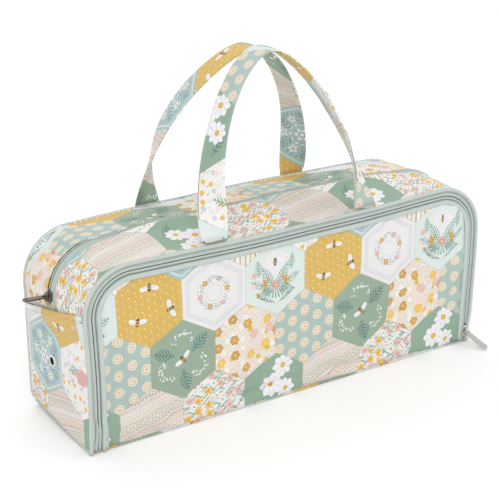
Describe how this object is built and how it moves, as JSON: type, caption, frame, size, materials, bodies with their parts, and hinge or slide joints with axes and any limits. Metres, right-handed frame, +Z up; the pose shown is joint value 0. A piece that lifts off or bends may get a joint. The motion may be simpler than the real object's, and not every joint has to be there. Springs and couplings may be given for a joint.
{
  "type": "knitting bag",
  "caption": "Long soft knitting bag in printed coated cloth, with a top zip, a full front flap on a three-sided zip, strap handles and a yarn eyelet.",
  "frame": {"origin": "middle of the flat base, on the surface that the bag stands on", "axes": "+Z up, +X along the bag away from the eyelet end, -Y towards the front flap"},
  "size_m": [0.4497, 0.1488, 0.3127],
  "materials": {
    "printed_cloth": "matt coated cotton with a small patchwork print",
    "lining_cloth": "plain woven lining",
    "zip_tape": "woven sage-grey tape",
    "zip_coil": "sage-grey nylon coil",
    "piping_cord": "sage-grey covered cord",
    "bright_nickel": "bright nickel plate",
    "dark_nickel": "dark nickel plate",
    "eyelet_enamel": "white enamelled metal"
  },
  "bodies": {
    "bag": {"back_lining": "lining_cloth", "back_panel": "printed_cloth", "back_piping": "piping_cord", "bottom_gusset": "printed_cloth", "bottom_lining": "lining_cloth", "divider_wall": "lining_cloth", "front_zip_outer_coil": "zip_coil", "front_zip_outer_tape": "zip_tape", "left_corner_back_strip": "printed_cloth", "left_corner_back_zip_coil": "zip_coil", "left_corner_back_zip_tape": "zip_tape", "left_corner_front_strip": "printed_cloth", "left_corner_front_zip_coil": "zip_coil", "left_corner_front_zip_tape": "zip_tape", "left_end_gusset": "printed_cloth", "left_end_lining": "lining_cloth", "needle_pocket": "lining_cloth", "right_corner_back_strip": "printed_cloth", "right_corner_back_zip_coil": "zip_coil", "right_corner_back_zip_tape": "zip_tape", "right_corner_front_strip": "printed_cloth", "right_corner_front_zip_coil": "zip_coil", "right_corner_front_zip_tape": "zip_tape", "right_end_gusset": "printed_cloth", "right_end_lining": "lining_cloth", "yarn_eyelet": "eyelet_enamel", "yarn_eyelet_washer": "eyelet_enamel"},
    "flap": {"flap_panel": "printed_cloth", "flap_lining": "lining_cloth", "flap_pocket": "lining_cloth", "front_zip_inner_tape": "zip_tape", "front_zip_inner_coil": "zip_coil"},
    "front_strip": {"top_front_strip": "printed_cloth", "top_front_zip_tape": "zip_tape", "top_front_zip_coil": "zip_coil"},
    "back_strip": {"top_back_strip": "printed_cloth", "top_back_zip_tape": "zip_tape", "top_back_zip_coil": "zip_coil"},
    "handle_front": {"front_handle": "printed_cloth"},
    "handle_back": {"back_handle": "printed_cloth"},
    "slider_front": {"front_slider": "bright_nickel"},
    "pull_front": {"front_pull": "bright_nickel"},
    "slider_top": {"top_slider": "dark_nickel"},
    "pull_top": {"top_pull": "dark_nickel"}
  },
  "joints": [
    {"name": "flap_hinge", "type": "hinge", "parent": "bag", "child": "flap", "pos_m": [0, -0.0571, 0.002], "axis": [1, 0, 0], "range_deg": [0, 90]},
    {"name": "front_strip_lift", "type": "hinge", "parent": "bag", "child": "front_strip", "pos_m": [0, -0.0525, 0.165], "axis": [1, 0, 0], "range_deg": [0, 45]},
    {"name": "back_strip_lift", "type": "hinge", "parent": "bag", "child": "back_strip", "pos_m": [0, 0.0525, 0.165], "axis": [-1, 0, 0], "range_deg": [0, 45]},
    {"name": "front_handle_swing", "type": "hinge", "parent": "bag", "child": "handle_front", "pos_m": [-0.006, -0.057, 0.1655], "axis": [1, 0, 0], "range_deg": [0, 135]},
    {"name": "back_handle_swing", "type": "hinge", "parent": "bag", "child": "handle_back", "pos_m": [-0.006, 0.057, 0.1655], "axis": [-1, 0, 0], "range_deg": [0, 135]},
    {"name": "front_zip_run", "type": "slide", "parent": "bag", "child": "slider_front", "axis": [0, 0, 1], "range_m": [0, 0.096]},
    {"name": "front_pull_swing", "type": "hinge", "parent": "slider_front", "child": "pull_front", "pos_m": [0.2025, -0.06, 0.0125], "axis": [1, 0, 0], "range_deg": [-110, 0]},
    {"name": "top_zip_run", "type": "hinge", "parent": "bag", "child": "slider_top", "pos_m": [-0.1665, 0, 0.123], "axis": [0, 1, 0], "range_deg": [0, 75]},
    {"name": "top_pull_swing", "type": "hinge", "parent": "slider_top", "child": "pull_top", "pos_m": [-0.21568, 0, 0.12644], "axis": [0, 1, 0], "range_deg": [-94, 85]}
  ]
}
